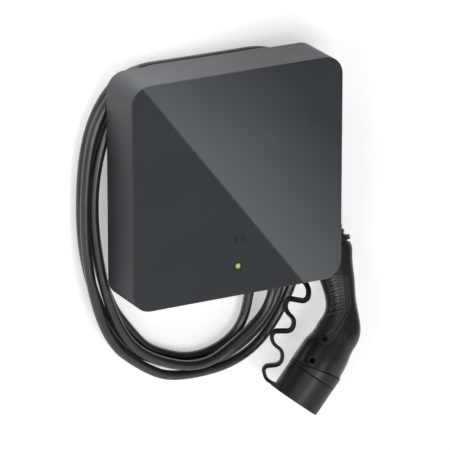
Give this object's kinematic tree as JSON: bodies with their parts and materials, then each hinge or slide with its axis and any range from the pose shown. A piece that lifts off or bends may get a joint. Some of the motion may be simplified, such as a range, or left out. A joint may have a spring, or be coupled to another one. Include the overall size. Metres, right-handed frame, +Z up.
{
  "type": "ev wallbox",
  "caption": "Square wall-mounted car charger with its charging cable coiled behind the housing and a capped plug hanging beside it.",
  "frame": {"origin": "centre of the four wall screw holes, in the plane of the wall", "axes": "+Z up, +Y into the wall, so the front faces -Y and +X is the viewer's right"},
  "size_m": [0.3861, 0.1204, 0.4985],
  "materials": {
    "hood_plastic": "satin",
    "housing_plastic": "matte",
    "cover_plastic": "matte",
    "seal_rubber": "matte",
    "screw_steel": "satin",
    "green_light": "glossy",
    "board_green": "satin",
    "device_grey": "satin",
    "relay_black": "satin",
    "terminal_brass": "satin",
    "gland_plastic": "satin",
    "cable_rubber": "satin",
    "lead_sheath": "satin",
    "plug_plastic": "satin",
    "grip_rubber": "matte",
    "contact_silver": "polished"
  },
  "bodies": {
    "wallbox": {"board_relays": "relay_black", "board_screws": "screw_steel", "board_terminal_strip": "board_green", "cap_strap": "grip_rubber", "charging_cable_coil": "cable_rubber", "charging_cable_lead_in": "cable_rubber", "charging_cable_tail": "cable_rubber", "control_board": "board_green", "current_sensor": "relay_black", "earth_bar": "terminal_brass", "energy_meter": "device_grey", "face_board_screws": "screw_steel", "gland_body": "gland_plastic", "gland_dome_nut": "gland_plastic", "gland_lock_nut": "gland_plastic", "gland_sleeve": "seal_rubber", "grip_pad_left": "grip_rubber", "grip_pad_right": "grip_rubber", "hood": "hood_plastic", "hood_screws": "screw_steel", "housing_seal": "seal_rubber", "inner_cover": "cover_plastic", "inner_cover_screws": "screw_steel", "inner_leads": "lead_sheath", "light_board": "board_green", "light_chip": "device_grey", "light_lens": "green_light", "mounting_rail": "screw_steel", "plug_collar": "plug_plastic", "plug_handle_left": "plug_plastic", "plug_handle_right": "plug_plastic", "plug_nose": "plug_plastic", "plug_screws": "screw_steel", "plug_strain_relief": "grip_rubber", "power_contacts": "contact_silver", "power_relay": "relay_black", "rail_screws": "screw_steel", "reader_antenna": "board_green", "rear_housing": "housing_plastic", "selector_case": "relay_black", "signal_contacts": "contact_silver", "supply_grommet": "seal_rubber", "supply_terminals": "device_grey", "tether_ring": "grip_rubber"},
    "cap": {"dust_cap": "plug_plastic"},
    "selector": {"selector_knob": "device_grey"}
  },
  "joints": [
    {"name": "dust_cap_pull", "type": "slide", "parent": "wallbox", "child": "cap", "axis": [-0.6261, 0.0146, -0.7796], "range_m": [0, 0.06], "deforming": ["cap_strap"]},
    {"name": "selector_turn", "type": "hinge", "parent": "wallbox", "child": "selector", "pos_m": [0.11, -0.1, -0.092], "axis": [0, -1, 0], "range_deg": [0, 324]}
  ]
}
